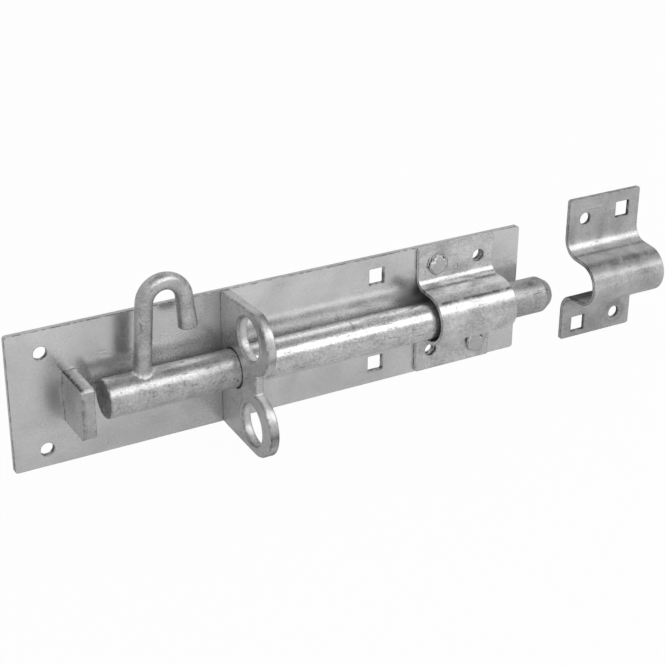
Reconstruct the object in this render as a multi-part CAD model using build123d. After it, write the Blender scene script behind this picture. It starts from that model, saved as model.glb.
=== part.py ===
from build123d import *
import os
from math import acos, atan2, cos, hypot, radians, sin, tan

# The back of the plate lies on the gate: it is the plane Y = 0, with its centre at the origin.
# X runs along the bolt towards the keeper, Z is up, and -Y points away from the gate.
# A place along the plate is a distance from its left end, and a place across it is a height from its middle.

# Backplate: a sheared length of flat steel strip.
plate_length = 280.0
plate_height = 70.0
plate_thickness = 3.0
plate_corner_radius = 1.5
screw_hole_diameter = 6.8
end_holes_from_end = 16.4
end_hole_up = 23.5
end_hole_down = 26.3
square_hole_side = 8.8
square_hole_corner = 0.6
square_holes_from_end = 193.8
square_hole_rise = 24.3

# Bolt: a round bar, drawn back in the guides with its turned tip past the plate's right end.
bolt_diameter = 19.0
bolt_length = 250.0
bolt_plate_gap = 3.2
bolt_end_chamfer = 0.5
tip_taper_length = 5.5
tip_taper_depth = 3.2
tip_rounding = 1.2

# End stop: flat bar on edge behind the bolt's end, held by a tenon riveted over flush in the plate.
stop_from_end = 26.0
stop_thickness = 6.5
stop_rise = 12.4
stop_drop = 14.0
stop_reach = 23.3
stop_lower_corner = 2.2
stop_upper_corner = 1.2
stop_tenon_height = 12.0
stop_edge_chamfer = 0.35
stop_to_bolt = 7.8

# Staple plate: flat bar with a hole for the bolt, two rounded ears and a padlock eye in each.
# The ears and eyes are placed from the bolt's axis: outwards and up or down. They were cut a little
# uneven: the lower ear stands further out than the mean by the skew, and the upper one less.
staple_from_end = 106.8
staple_thickness = 5.0
ear_radius = 15.6
ear_out = 21.0
ear_rise = 21.0
ear_skew = 1.1
notch_out = 21.8
notch_corner_radius = 1.0
eye_diameter = 21.0
eye_out = 17.7
eye_rise = 22.1
staple_bolt_clearance = 0.7
staple_tenon_height = 12.0
staple_tenon_rise = 20.0
staple_edge_radius = 0.9
eye_edge_radius = 1.0

# Handle: a rod bent into a hook in the plane of the bolt's axis, with its foot welded on the bolt.
rod_diameter = 8.5
handle_from_bolt_end = 20.0
shank_length = 33.75
shank_lean = 3.7
hook_bend_radius = 10.0
leg_length = 16.0
leg_splay = 5.7
leg_end_diameter = 9.5
leg_end_chamfer = 0.4
handle_turn_clearance = 0.05
weld_width = 1.0
weld_height = 1.8
weld_rounding = 0.8

# Bolt guide: a strap of sheet steel folded over the bolt and riveted to the plate.
guide_from_end = 217.0
guide_width = 45.5
guide_sheet = 2.2
guide_height = 69.6
guide_rise = 0.6
guide_clearance = 2.0
guide_bend_radius = 5.0
guide_wall_slope = 4.0
guide_corner_radius = 1.2
guide_hole_across = 13.6
guide_hole_rise = 23.9

# Rivets: the two that hold the guide, with hammered heads in front and flush countersunk tails. Both
# sit a little nearer the tip than the strap's middle asks for.
rivet_diameter = 6.4
rivet_head_diameter = 13.0
rivet_head_height = 1.7
rivet_tail_diameter = 9.0
rivet_tail_depth = 1.3
rivet_across = 12.6
rivet_rise = 24.6
rivet_shift = 1.2

# Keeper: a wider strap of the same form that stands by itself on the gate post, in line with the bolt.
keeper_from_plate = 33.4
keeper_width = 47.0
keeper_sheet = 2.2
keeper_clearance = 0.7
keeper_bend_radius = 8.0
keeper_wall_slope = 5.0
keeper_top_reach = 42.4
keeper_bottom_reach = 39.2
keeper_corner_radius = 1.4
keeper_hole_across = 12.7
keeper_hole_rise = 30.3
keeper_square_across = 12.2
keeper_square_rise = 31.6

# Planes, lines and heights that several pieces share
left_end = -plate_length / 2
plate_front = -plate_thickness
bolt_radius = bolt_diameter / 2
axis_y = plate_front - bolt_plate_gap - bolt_radius
stop_x = left_end + stop_from_end
bolt_x = stop_x + stop_thickness + stop_to_bolt
staple_x = left_end + staple_from_end
guide_x = left_end + guide_from_end
guide_middle_x = guide_x + guide_width / 2
keeper_x = plate_length / 2 + keeper_from_plate
keeper_middle_x = keeper_x + keeper_width / 2
rivet_spots = {
    "guide_rivet_upper": (guide_middle_x + rivet_shift - rivet_across, guide_rise + rivet_rise),
    "guide_rivet_lower": (guide_middle_x + rivet_shift + rivet_across, guide_rise - rivet_rise),
}
guide_hole_spots = [
    (guide_middle_x + guide_hole_across, guide_rise + guide_hole_rise),
    (guide_middle_x - guide_hole_across, guide_rise - guide_hole_rise),
]
shank_top = bolt_radius / cos(radians(shank_lean)) + shank_length
same_place = 0.01


def facing(x):
    """The plane across the bolt at x, with its own x and y along the part's Y and Z."""
    return Plane(origin=(x, 0, 0), x_dir=(0, 1, 0), z_dir=(1, 0, 0))


def along_y(radius, x, z, y_from, y_to):
    """A round pin along Y."""
    middle = (x, (y_from + y_to) / 2, z)
    return Pos(*middle) * Rot(90, 0, 0) * Cylinder(radius, abs(y_to - y_from))


def along_x(radius, y, z, x_from, x_to):
    """A round pin along X."""
    middle = ((x_from + x_to) / 2, y, z)
    return Pos(*middle) * Rot(0, 90, 0) * Cylinder(radius, abs(x_to - x_from))


def box_between(x_from, x_to, y_from, y_to, z_from, z_to):
    """A block given by its two limits along each axis."""
    middle = ((x_from + x_to) / 2, (y_from + y_to) / 2, (z_from + z_to) / 2)
    return Pos(*middle) * Box(abs(x_to - x_from), abs(y_to - y_from), abs(z_to - z_from))


def screw_hole(x, z, y_from, y_to):
    """The tool for a round screw hole, which runs past both faces."""
    past = plate_thickness
    return along_y(screw_hole_diameter / 2, x, z, y_from - past, y_to + past)


def square_hole(x, z, y_from, y_to):
    """The tool for a square hole that keeps a coach bolt's neck from turning."""
    past = plate_thickness
    half = square_hole_side / 2
    tool = box_between(x - half, x + half, y_from - past, y_to + past, z - half, z + half)
    return fillet(tool.edges().filter_by(Axis.Y), square_hole_corner)


def stop_tenon():
    """The part of the stop that fills its slot in the plate."""
    half = stop_tenon_height / 2
    return box_between(stop_x, stop_x + stop_thickness, plate_front, 0, -half, half)


def staple_tenons():
    """The two parts of the staple plate that fill their slots in the plate."""
    half = staple_tenon_height / 2
    return [
        box_between(staple_x, staple_x + staple_thickness, plate_front, 0, rise - half, rise + half)
        for rise in (-staple_tenon_rise, staple_tenon_rise)
    ]


def rivet_shank(x, z):
    """The rivet between its head and the back: a pin through strap and plate, and its countersunk tail."""
    pin = along_y(rivet_diameter / 2, x, z, plate_front - guide_sheet, 0)
    tail = Cone(rivet_diameter / 2, rivet_tail_diameter / 2, rivet_tail_depth)
    return pin + Pos(x, -rivet_tail_depth / 2, z) * Rot(-90, 0, 0) * tail


def make_backplate():
    """The strip, less its screw holes, coach bolt holes, slots and rivet holes."""
    half = plate_height / 2
    plate = box_between(left_end, -left_end, plate_front, 0, -half, half)
    plate = fillet(plate.edges().filter_by(Axis.Y), plate_corner_radius)
    for z in (end_hole_up, -end_hole_down):
        plate -= screw_hole(left_end + end_holes_from_end, z, plate_front, 0)
    for z in (square_hole_rise, -square_hole_rise):
        plate -= square_hole(left_end + square_holes_from_end, z, plate_front, 0)
    for x, z in guide_hole_spots:
        plate -= screw_hole(x, z, plate_front, 0)
    for tenon in [stop_tenon(), *staple_tenons()]:
        plate -= tenon
    for x, z in rivet_spots.values():
        plate -= rivet_shank(x, z)
    return plate


def make_stop_plate():
    """The stop: a block with its outer corners taken off, and its tenon."""
    front = plate_front - stop_reach
    outline = Polyline(
        (plate_front, stop_rise),
        (front + stop_upper_corner, stop_rise),
        (front, stop_rise - stop_upper_corner),
        (front, stop_lower_corner - stop_drop),
        (front + stop_lower_corner, -stop_drop),
        (plate_front, -stop_drop),
        close=True,
    )
    block = extrude(facing(stop_x) * make_face(outline), stop_thickness)
    softened = [edge for edge in block.edges() if edge.center().Y < plate_front - stop_edge_chamfer]
    block = chamfer(softened, stop_edge_chamfer)
    return block + stop_tenon()


def ear_places():
    """The (Y, Z) of each ear's round and of its eye, upper first."""
    for side in (1, -1):
        ear = (axis_y - ear_out + side * ear_skew, side * ear_rise)
        eye = (axis_y - eye_out + side * ear_skew, side * eye_rise)
        yield ear, eye


def ear_tangent(ear):
    """Where the staple's straight edge, which starts at the plate's own corner, meets the ear's round."""
    side = 1 if ear[1] > 0 else -1
    corner_y, corner_z = plate_front, plate_height / 2
    ear_y, ear_z = ear[0], abs(ear[1])
    reach = hypot(ear_y - corner_y, ear_z - corner_z)
    towards = atan2(ear_z - corner_z, corner_y - ear_y) + acos(0) - acos(ear_radius / reach)
    length = (reach**2 - ear_radius**2) ** 0.5
    return corner_y - length * cos(towards), side * (corner_z + length * sin(towards))


def make_staple_plate():
    """The eye plate: a straight root, two round ears with a notch between them, eyes and the bolt's hole."""
    notch_y = axis_y - notch_out
    ears, eyes = zip(*ear_places())
    root = Polyline(
        (plate_front, plate_height / 2),
        ear_tangent(ears[0]),
        (notch_y, ear_rise),
        (notch_y, -ear_rise),
        ear_tangent(ears[1]),
        (plate_front, -plate_height / 2),
        close=True,
    )
    outline = make_face(root)
    for ear in ears:
        outline += Pos(*ear) * Circle(ear_radius)
    floor_corners = [
        corner
        for corner in outline.vertices()
        if abs(corner.X - notch_y) < same_place and abs(corner.Y) < ear_rise
    ]
    outline = fillet(floor_corners, notch_corner_radius)
    body = extrude(facing(staple_x) * outline, staple_thickness)
    rim = [
        edge
        for edge in body.edges()
        if edge.center().Y < plate_front - staple_edge_radius and (edge @ 0).X == (edge @ 1).X
    ]
    body = fillet(rim, staple_edge_radius)
    past_left, past_right = staple_x - staple_thickness, staple_x + 2 * staple_thickness
    for eye_y, eye_z in eyes:
        body -= along_x(eye_diameter / 2, eye_y, eye_z, past_left, past_right)
    eye_edges = [
        edge
        for edge in body.edges().filter_by(GeomType.CIRCLE)
        if abs(edge.radius - eye_diameter / 2) < same_place
    ]
    body = fillet(eye_edges, eye_edge_radius)
    hole_radius = bolt_radius + staple_bolt_clearance
    body -= along_x(hole_radius, axis_y, 0, past_left, past_right)
    for tenon in staple_tenons():
        body += tenon
    return body


def make_bolt_bar():
    """The bolt: a bar with a small chamfer at its left end and a tapered, rounded tip."""
    bar = along_x(bolt_radius, axis_y, 0, bolt_x, bolt_x + bolt_length)
    ends = bar.edges().filter_by(GeomType.CIRCLE).sort_by(Axis.X)
    bar = chamfer(ends[0], bolt_end_chamfer)
    tip_face = bar.faces().sort_by(Axis.X)[-1]
    bar = chamfer(tip_face.edges(), tip_taper_depth, tip_taper_length, reference=tip_face)
    return fillet(bar.faces().sort_by(Axis.X)[-1].edges(), tip_rounding)


def handle_plane():
    """The plane of the hook, with its own x and y along the part's X and Z, on the bolt's axis under the foot."""
    foot_x = bolt_x + handle_from_bolt_end - bolt_radius * tan(radians(shank_lean))
    return Plane(origin=(foot_x, axis_y, 0), x_dir=(1, 0, 0), z_dir=(0, -1, 0))


def bolt_surface(extra):
    """A long round bar on the bolt's axis, larger than the bolt by extra all round."""
    return along_x(bolt_radius + extra, axis_y, 0, bolt_x - bolt_length, bolt_x + bolt_length)


def shank_rod(radius):
    """A straight rod of the given radius along the shank's line, from the bolt's axis up to the bend."""
    tilted = handle_plane() * Rot(0, 0, -shank_lean) * Rot(-90, 0, 0)
    return tilted * Pos(0, 0, shank_top / 2) * Cylinder(radius, shank_top)


def make_handle():
    """The hook: straight shank, a bend over the top, and a free leg that swells to its sheared end."""
    lean, splay = radians(shank_lean), radians(leg_splay)
    start = Vector(shank_top * sin(lean), shank_top * cos(lean))
    centre = start + Vector(cos(lean), -sin(lean)) * hook_bend_radius
    crown = centre + Vector(0, hook_bend_radius)
    leg_start = centre + Vector(cos(splay), sin(splay)) * hook_bend_radius
    bend_path = handle_plane() * ThreePointArc(start, crown, leg_start)
    section = Plane(origin=bend_path @ 0, z_dir=bend_path % 0) * Circle(rod_diameter / 2)
    bend = sweep(section, path=bend_path)
    leg_axis = handle_plane() * Line(leg_start, leg_start + Vector(sin(splay), -cos(splay)) * leg_length)
    leg_place = Plane(origin=leg_axis @ 0.5, z_dir=leg_axis % 0)
    leg = leg_place * Cone(rod_diameter / 2, leg_end_diameter / 2, leg_length)
    leg = chamfer(leg.edges().sort_by(Axis.Z)[0], leg_end_chamfer)
    return shank_rod(rod_diameter / 2) + bend + leg - bolt_surface(handle_turn_clearance)


def make_handle_weld():
    """The bead round the handle's foot: a collar that follows the bolt's round and the rod's side."""
    bead = shank_rod(rod_diameter / 2 + weld_width) & bolt_surface(weld_height)
    shoulder = bead.faces().sort_by(Axis.Z)[-1].edges()
    bead = fillet(shoulder, weld_rounding)
    return bead - bolt_surface(handle_turn_clearance) - shank_rod(rod_diameter / 2)


def fold_half(radius, bend, flange_y, slope_degrees):
    """The upper half of one surface of a folded strap, as points of (Y, Z) from the flange to the round.

    The round has its centre on the bolt's axis, the wall leaves it at a slope, and the bend's round
    touches both the wall and the flange.
    """
    slope = radians(slope_degrees)
    along = (flange_y - bend - axis_y + (radius + bend) * sin(slope)) / cos(slope)
    centre_y = flange_y - bend
    centre_z = (radius + bend) * cos(slope) + along * sin(slope)
    middle = (slope - acos(0)) / 2
    flange_end = (flange_y, centre_z)
    bend_middle = (centre_y + bend * cos(middle), centre_z + bend * sin(middle))
    wall_start = (centre_y + bend * sin(slope), centre_z - bend * cos(slope))
    wall_end = (axis_y - radius * sin(slope), radius * cos(slope))
    return flange_end, bend_middle, wall_start, wall_end


def fold_line(radius, bend, flange_y, slope_degrees, top, bottom):
    """One whole surface of a folded strap, from its top edge over the bolt to its bottom edge."""
    upper = fold_half(radius, bend, flange_y, slope_degrees)
    lower = [(y, -z) for y, z in upper]
    return [
        Line((flange_y, top), upper[0]),
        ThreePointArc(*upper[:3]),
        Line(upper[2], upper[3]),
        ThreePointArc(upper[3], (axis_y - radius, 0), lower[3]),
        Line(lower[3], lower[2]),
        ThreePointArc(*reversed(lower[:3])),
        Line(lower[0], (flange_y, -bottom)),
    ]


def folded_strap(x, width, sheet, clearance, bend, slope_degrees, back_y, top, bottom, corner):
    """A strap of sheet folded over the bolt, with flanges on the plane back_y and rounded corners."""
    bore = bolt_radius + clearance
    front_y = back_y - sheet
    inside = fold_line(bore, bend + sheet, back_y, slope_degrees, top, bottom)
    outside = fold_line(bore + sheet, bend, front_y, slope_degrees, top, bottom)
    ends = [Line((back_y, top), (front_y, top)), Line((back_y, -bottom), (front_y, -bottom))]
    strap = extrude(facing(x) * make_face(inside + outside + ends), width)
    corners = [
        edge
        for edge in strap.edges().filter_by(Axis.Y)
        if abs(edge.center().Z - top) < same_place or abs(edge.center().Z + bottom) < same_place
    ]
    return fillet(corners, corner)


def make_bolt_guide():
    """The guide strap on the plate's front, with its screw holes and rivet holes."""
    half = guide_height / 2
    strap = folded_strap(
        guide_x,
        guide_width,
        guide_sheet,
        guide_clearance,
        guide_bend_radius,
        guide_wall_slope,
        plate_front,
        half,
        half,
        guide_corner_radius,
    )
    strap = Pos(0, 0, guide_rise) * strap
    for x, z in guide_hole_spots:
        strap -= screw_hole(x, z, plate_front - guide_sheet, plate_front)
    for x, z in rivet_spots.values():
        strap -= rivet_shank(x, z)
    return strap


def make_rivet(x, z):
    """A rivet: its shank and tail, and a flattened dome of a head on the strap."""
    seat_y = plate_front - guide_sheet
    radius = rivet_head_diameter / 2
    dome_radius = (radius**2 + rivet_head_height**2) / (2 * rivet_head_height)
    dome = Pos(x, seat_y - rivet_head_height + dome_radius, z) * Sphere(dome_radius)
    head = dome & along_y(radius, x, z, seat_y - 2 * rivet_head_height, seat_y)
    return head + rivet_shank(x, z)


def make_keeper():
    """The keeper: the folded strap on the post, with a screw hole and a square hole in each flange."""
    keeper = folded_strap(
        keeper_x,
        keeper_width,
        keeper_sheet,
        keeper_clearance,
        keeper_bend_radius,
        keeper_wall_slope,
        0,
        keeper_top_reach,
        keeper_bottom_reach,
        keeper_corner_radius,
    )
    for side in (1, -1):
        hole_x = keeper_middle_x - side * keeper_hole_across
        square_x = keeper_middle_x + side * keeper_square_across
        keeper -= screw_hole(hole_x, side * keeper_hole_rise, -keeper_sheet, 0)
        keeper -= square_hole(square_x, side * keeper_square_rise, -keeper_sheet, 0)
    return keeper


os.makedirs("parts", exist_ok=True)
pieces = {
    "backplate": make_backplate(),
    "stop_plate": make_stop_plate(),
    "staple_plate": make_staple_plate(),
    "bolt_bar": make_bolt_bar(),
    "handle": make_handle(),
    "handle_weld": make_handle_weld(),
    "bolt_guide": make_bolt_guide(),
    "keeper": make_keeper(),
}
for rivet_name, (rivet_x, rivet_z) in rivet_spots.items():
    pieces[rivet_name] = make_rivet(rivet_x, rivet_z)
for name, solid in pieces.items():
    export_step(solid, f"parts/{name}.step")
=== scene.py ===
import bmesh
import bpy
import numpy as np
from mathutils import Matrix, Vector
from mathutils.geometry import delaunay_2d_cdt


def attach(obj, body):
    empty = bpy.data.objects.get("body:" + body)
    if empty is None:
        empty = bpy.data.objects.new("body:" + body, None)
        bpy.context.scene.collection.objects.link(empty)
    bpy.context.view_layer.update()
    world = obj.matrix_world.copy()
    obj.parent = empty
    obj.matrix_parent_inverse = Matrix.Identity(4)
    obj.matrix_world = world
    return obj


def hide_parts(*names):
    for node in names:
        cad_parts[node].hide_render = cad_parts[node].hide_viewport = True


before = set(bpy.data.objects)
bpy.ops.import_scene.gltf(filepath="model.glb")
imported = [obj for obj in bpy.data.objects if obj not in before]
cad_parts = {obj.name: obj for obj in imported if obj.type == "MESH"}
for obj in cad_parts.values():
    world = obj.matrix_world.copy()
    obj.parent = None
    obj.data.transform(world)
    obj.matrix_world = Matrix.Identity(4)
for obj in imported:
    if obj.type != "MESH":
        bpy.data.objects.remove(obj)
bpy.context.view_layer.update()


# Backplate: a length of 3 mm steel strip, sheared to size, then punched with its screw holes, square
# coach bolt holes and the slots for the tenons, and zinc plated. It is the frame of the whole padbolt.
plate_half_length, plate_half_height, plate_thickness = 140.0, 35.0, 3.0
plate_front, plate_corner = -plate_thickness, 1.5
# Every section but the studio's is in millimetres. Round holes, pins and tails are given by their radius,
# square holes by half their side, and slots by their left, right, bottom and top.
millimetre = 0.001
screw_hole = 3.4
end_holes = [(-123.6, 23.5), (-123.6, -26.3)]
square_half, square_corner = 4.4, 0.6
plate_squares = [(53.8, 24.3), (53.8, -24.3)]
guide_holes = [(113.35, 24.5), (86.15, -23.3)]
stop_slot = (-114.0, -107.5, -6.0, 6.0)
staple_slots = [(-33.2, -28.2, 14.0, 26.0), (-33.2, -28.2, -26.0, -14.0)]
slot_play, tenon_back = 0.04, -0.05
dish_depth, dish_reach, dish_half_height = 1.9, 4.5, 7.5
rivet_places = {"guide_rivet_upper": (88.35, 25.2), "guide_rivet_lower": (113.55, -24.0)}
rivet_pin, rivet_tail, rivet_sink = 3.2, 4.5, 1.3


def arc(centre, radius, start, stop, step=0.8):
    """Points on a circle: the centre plus the radius times (cos a, sin a), for angles a in degrees from
    start to stop, with neighbours no further apart than the step."""
    count = int(np.ceil(abs(np.radians(stop - start)) * radius / step)) + 2
    angle = np.radians(np.linspace(start, stop, count))
    return np.stack([centre[0] + radius * np.cos(angle), centre[1] + radius * np.sin(angle)], axis=1)


def round_hole(centre, radius):
    """A circle's points, about a seventh of its radius apart, with no point twice."""
    return arc(centre, radius, 0, 360, step=radius / 7)[:-1]


def rounded(corners, radius, step=2.5, arc_points=6):
    """A closed outline. Each corner of the polygon gives way to an arc of the radius that touches both of
    its sides, and the sides between get points no further apart than the step."""
    corners = np.array(corners, float)
    radius = np.broadcast_to(radius, len(corners))
    pieces = []
    for here, before, after, r in zip(corners, np.roll(corners, 1, 0), np.roll(corners, -1, 0), radius):
        back = (before - here) / np.linalg.norm(before - here)
        ahead = (after - here) / np.linalg.norm(after - here)
        half = np.arccos(np.clip(back @ ahead, -1, 1)) / 2
        middle = here + (back + ahead) / np.linalg.norm(back + ahead) * r / np.sin(half)
        first, last = here + back * r / np.tan(half) - middle, here + ahead * r / np.tan(half) - middle
        turn = np.arctan2(first[0] * last[1] - first[1] * last[0], first @ last)
        angle = np.linspace(0, turn, arc_points)[:, None]
        across = np.array([-first[1], first[0]])
        pieces.append(middle + first * np.cos(angle) + across * np.sin(angle))
    return with_steps(np.vstack(pieces), step)


def with_steps(outline, step):
    """The closed outline with points added on its long sides: each side is cut in as many equal parts as
    its length divided by the step, rounded up."""
    closed = np.vstack([outline, outline[:1]])
    parts = np.maximum(1, np.ceil(np.hypot(*np.diff(closed, axis=0).T) / step)).astype(int)
    side = np.repeat(np.arange(len(parts)), parts)
    share = (np.arange(len(side)) - np.repeat(np.cumsum(parts) - parts, parts)) / parts[side]
    return closed[side] + share[:, None] * (closed[side + 1] - closed[side])


def with_metal_left(outline, hole):
    """The outline in the order that keeps the metal to its left: against the clock outside, and with the
    clock in a hole. Twice the area, the sum of the sides' cross products, is above 0 against the clock."""
    x, y = outline.T
    twice_area = np.sum(x * np.roll(y, -1) - np.roll(x, -1) * y)
    return outline[::-1] if (twice_area > 0) == hole else outline


def moved_into_metal(outline, distance):
    """Each point moved to its left along the line that halves its corner, by the distance over the cosine
    of half the turn there, so that every side moves in by the distance."""
    ahead = np.roll(outline, -1, 0) - outline
    ahead /= np.linalg.norm(ahead, axis=1, keepdims=True)
    along = ahead + np.roll(ahead, 1, 0)
    along /= np.linalg.norm(along, axis=1, keepdims=True)
    left = np.stack([-along[:, 1], along[:, 0]], axis=1)
    return outline + left * (distance / np.sum(along * ahead, axis=1))[:, None]


def cut_edge(thickness, front, back, wear, fracture=0.05, land_share=0.38, face_strip=0.2):
    """The section of a sheared edge as rows of (distance into the metal, depth, wear): a quarter round that
    the blade drew over at the front, a smooth land, a break set in by the fracture, and a small round at the
    back. Wear above 0 darkens, and below 0 brightens as a painted highlight. Front round, land, break and
    back round have the given four values, a round half as much where it leaves its face, and the faces none."""
    angle = np.radians([0, 18, 36, 54, 72, 90])
    into, down = 1 - np.sin(angle), 1 - np.cos(angle)
    share = 0.5 + 0.5 * np.sin(angle)
    front_round = np.stack([front * into, front * down, wear[0] * share], axis=1)
    back_round = np.stack([back * into, thickness - back * down, wear[3] * share], axis=1)[::-1]
    land = front + land_share * (thickness - front - back)
    wall = [[0.0, land, wear[1]], [fracture, land + 0.12, wear[2]],
            [0.6 * fracture, thickness - back - 0.15, wear[2]]]
    strip = max(front, back) + face_strip
    return np.vstack([[[strip, 0.0, 0.0]], front_round, wall, back_round, [[strip, thickness, 0.0]]])


def inside(points, outline):
    """Whether each point is inside the outline: a level line from the point to the right crosses an odd
    number of the outline's sides."""
    x, y = points[:, :1], points[:, 1:]
    (ax, ay), (bx, by) = outline.T, np.roll(outline, -1, 0).T
    passes = (ay > y) != (by > y)
    at = ax + (y - ay) * (bx - ax) / np.where(by == ay, 1.0, by - ay)
    return np.sum(passes & (x < at), axis=1) % 2 == 1


def on_metal(points, outlines):
    """Whether each point is inside the first outline and in none of the others, which are holes."""
    found = inside(points, outlines[0])
    for hole in outlines[1:]:
        found &= ~inside(points, hole)
    return found


def ripple(coordinates, length, seed, count=9):
    """Smooth unevenness of about -1 to 1: twice the mean of a few sine waves of about the given length,
    whose directions and phases are drawn from the seed."""
    draw = np.random.default_rng(seed)
    size = len(coordinates)
    waves = draw.normal(size=(count, size)) * 2 * np.pi / length / size**0.5
    phases = np.stack(coordinates, axis=-1) @ waves.T + draw.uniform(0, 2 * np.pi, count)
    return 2 * np.sin(phases).mean(axis=-1)


def bell(offset, reach):
    """A bell curve: e to minus the square of offset over reach, which is 1 at 0 and 0.37 at the reach."""
    return np.exp(-((offset / reach) ** 2))


def nowhere(points):
    """A share of 0 at every point."""
    return 0 * points[:, 0]


def steel_piece(name, points, faces, edge, body, slot, material, nodes, dull=nowhere, pressed_and_shaded=nowhere):
    """A mesh object from points in millimetres and faces. Its wear along edges, which in places is a painted
    highlight, the places where it is dull and those that a tool marked, which in places are painted shade and
    highlights, are attributes. Points that coincide at poles become one, faces are turned outwards, and the
    piece rides on its body and takes the place of its nodes."""
    mesh = bpy.data.meshes.new(name)
    mesh.from_pydata((points * millimetre).tolist(), [], faces)
    for attribute, values in (("edge_wear_and_highlight", edge), ("dulled_and_shaded", dull(points)), ("pressed_and_shaded", pressed_and_shaded(points))):
        mesh.attributes.new(attribute, "FLOAT", "POINT").data.foreach_set("value", values.astype(np.float32))
    shape = bmesh.new()
    shape.from_mesh(mesh)
    bmesh.ops.remove_doubles(shape, verts=shape.verts, dist=1e-6)
    bmesh.ops.recalc_face_normals(shape, faces=shape.faces)
    shape.to_mesh(mesh)
    shape.free()
    mesh.polygons.foreach_set("use_smooth", np.ones(len(mesh.polygons), bool))
    mesh.materials.append(material)
    piece = bpy.data.objects.new(name, mesh)
    bpy.context.scene.collection.objects.link(piece)
    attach(piece, body)
    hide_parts(*nodes)


def punched_blank(outlines, sections, spacing, place, least_gap=0.45):
    """The surface of a blank cut from sheet. Each outline carries its edge section, row by row, from the
    front face to the back; a lattice of points and the first rows are joined by a Delaunay triangulation,
    which serves both faces. The lattice keeps clear of the rows by the least gap, a share of its spacing.
    place turns (across, along, depth) into a point of the part."""
    outlines = [with_metal_left(line, hole=i > 0) for i, line in enumerate(outlines)]
    rings = [np.stack([moved_into_metal(o, d) for d in s[:, 0]]) for o, s in zip(outlines, sections)]
    fronts = [ring[0] for ring in rings]
    low, high = fronts[0].min(0), fronts[0].max(0)
    lattice = np.stack(np.meshgrid(*[np.arange(a + s, b, s) for a, b, s in zip(low, high, spacing)]), axis=-1)
    lattice = lattice.reshape(-1, 2)
    lattice = lattice[on_metal(lattice, fronts)]
    edge_points = np.vstack(fronts)
    gap = np.min(np.linalg.norm((lattice[:, None] - edge_points[None]) / spacing, axis=-1), axis=1)
    lattice = lattice[gap > least_gap]
    starts = np.cumsum([0] + [len(f) for f in fronts])
    loops = [np.stack([np.arange(len(f)), (np.arange(len(f)) + 1) % len(f)], axis=1) + s
             for f, s in zip(fronts, starts)]
    flat = np.vstack([edge_points, lattice])
    found = delaunay_2d_cdt([Vector(p) for p in flat], np.vstack(loops).tolist(), [], 1, 1e-7)
    triangles = np.array(found[2])
    if len(found[0]) != len(flat):
        raise ValueError("the outlines of this blank cross")
    triangles = triangles[on_metal(flat[triangles].mean(axis=1), fronts)]

    points, edge, quads, front_ids, back_ids, used = [], [], [], [], [], 0
    for ring, section in zip(rings, sections):
        rows, count = ring.shape[:2]
        depth = np.repeat(section[:, 1:2], count, axis=1)
        points.append(place(ring[..., 0], ring[..., 1], depth).reshape(-1, 3))
        edge.append(np.repeat(section[:, 2], count))
        ids = used + np.arange(rows * count).reshape(rows, count)
        ahead = np.roll(ids, -1, 1)
        quads.append(np.stack([ids[:-1], ahead[:-1], ahead[1:], ids[1:]], axis=-1).reshape(-1, 4))
        front_ids.append(ids[0])
        back_ids.append(ids[-1])
        used += rows * count
    for ids, row in ((front_ids, 0), (back_ids, -1)):
        points.append(place(lattice[:, 0], lattice[:, 1], np.full(len(lattice), sections[0][row, 1])))
        edge.append(np.full(len(lattice), sections[0][row, 2]))
        ids.append(used + np.arange(len(lattice)))
        used += len(lattice)
    faces = np.vstack(quads).tolist()
    faces += np.concatenate(front_ids)[triangles].tolist()
    faces += np.concatenate(back_ids)[triangles[:, ::-1]].tolist()
    return np.vstack(points), faces, np.concatenate(edge)


def link(tree, source, target):
    """Joins an output socket to an input socket."""
    tree.links.new(source, target)


def shader_node(tree, kind, inputs=(), **settings):
    """Adds a node, sets its properties, then sets or joins its inputs, given as pairs of socket and value."""
    node = tree.nodes.new(kind)
    for name, value in settings.items():
        setattr(node, name, value)
    for socket, value in inputs:
        if isinstance(value, bpy.types.NodeSocket):
            tree.links.new(value, node.inputs[socket])
        else:
            node.inputs[socket].default_value = value
    return node


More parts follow.
